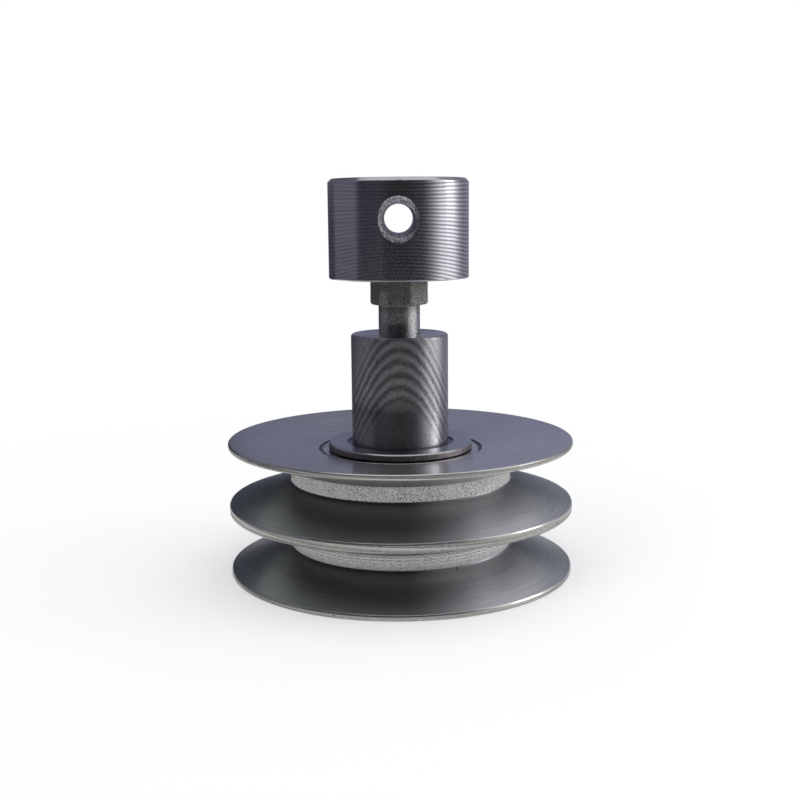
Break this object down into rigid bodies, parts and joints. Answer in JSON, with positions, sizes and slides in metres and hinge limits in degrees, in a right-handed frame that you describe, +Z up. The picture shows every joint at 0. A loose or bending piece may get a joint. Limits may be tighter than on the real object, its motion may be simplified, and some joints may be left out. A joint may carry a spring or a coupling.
{
  "type": "idler pulley",
  "caption": "Grooved V-belt idler pulley on sealed ball bearings, with a stub shaft, a spanner stud and a cross-drilled pivot boss for a belt tensioner.",
  "frame": {"origin": "centre of the plane that the lower flange's rim stands on, on the pulley's axis", "axes": "+Z up along the shaft from the pulley to the pivot boss, +Y along the boss's cross hole, +X to the right as the picture shows it"},
  "size_m": [0.1, 0.1, 0.1128],
  "materials": {
    "turned_pulley_steel": "turned, light grey",
    "bearing_steel": "ground",
    "ball_steel": "polished",
    "cage_steel": "pressed sheet",
    "shield_rubber": "moulded, satin",
    "turned_washer_steel": "turned",
    "turned_shaft_steel": "turned, satin",
    "spring_steel": "phosphated",
    "forged_steel": "forged and blasted",
    "turned_boss_steel": "turned, with tool rings"
  },
  "bodies": {
    "shaft": {"stub_shaft": "turned_shaft_steel", "spanner_stud": "forged_steel", "pivot_boss": "turned_boss_steel", "cover_washer": "turned_washer_steel", "inner_spacer_ring": "turned_shaft_steel", "retaining_ring": "spring_steel", "upper_inner_ring": "bearing_steel", "lower_inner_ring": "bearing_steel"},
    "rotor": {"pulley": "turned_pulley_steel", "upper_outer_ring": "bearing_steel", "lower_outer_ring": "bearing_steel", "upper_top_shield": "shield_rubber", "upper_bottom_shield": "shield_rubber", "lower_top_shield": "shield_rubber", "lower_bottom_shield": "shield_rubber"},
    "upper_ball_set": {"upper_balls": "ball_steel", "upper_cage_top_half": "cage_steel", "upper_cage_bottom_half": "cage_steel", "upper_cage_rivets": "cage_steel"},
    "lower_ball_set": {"lower_balls": "ball_steel", "lower_cage_top_half": "cage_steel", "lower_cage_bottom_half": "cage_steel", "lower_cage_rivets": "cage_steel"}
  },
  "joints": [
    {"name": "pulley_spin", "type": "hinge", "parent": "shaft", "child": "rotor", "pos_m": [0, 0, 0.01925], "axis": [0, 0, 1], "continuous": true},
    {"name": "upper_cage_spin", "type": "hinge", "parent": "shaft", "child": "upper_ball_set", "pos_m": [0, 0, 0.0283], "axis": [0, 0, 1], "continuous": true},
    {"name": "lower_cage_spin", "type": "hinge", "parent": "shaft", "child": "lower_ball_set", "pos_m": [0, 0, 0.0102], "axis": [0, 0, 1], "continuous": true}
  ],
  "couplings": [
    {"joint": "upper_cage_spin", "follows": "pulley_spin", "ratio": 0.6185},
    {"joint": "lower_cage_spin", "follows": "pulley_spin", "ratio": 0.6185}
  ]
}
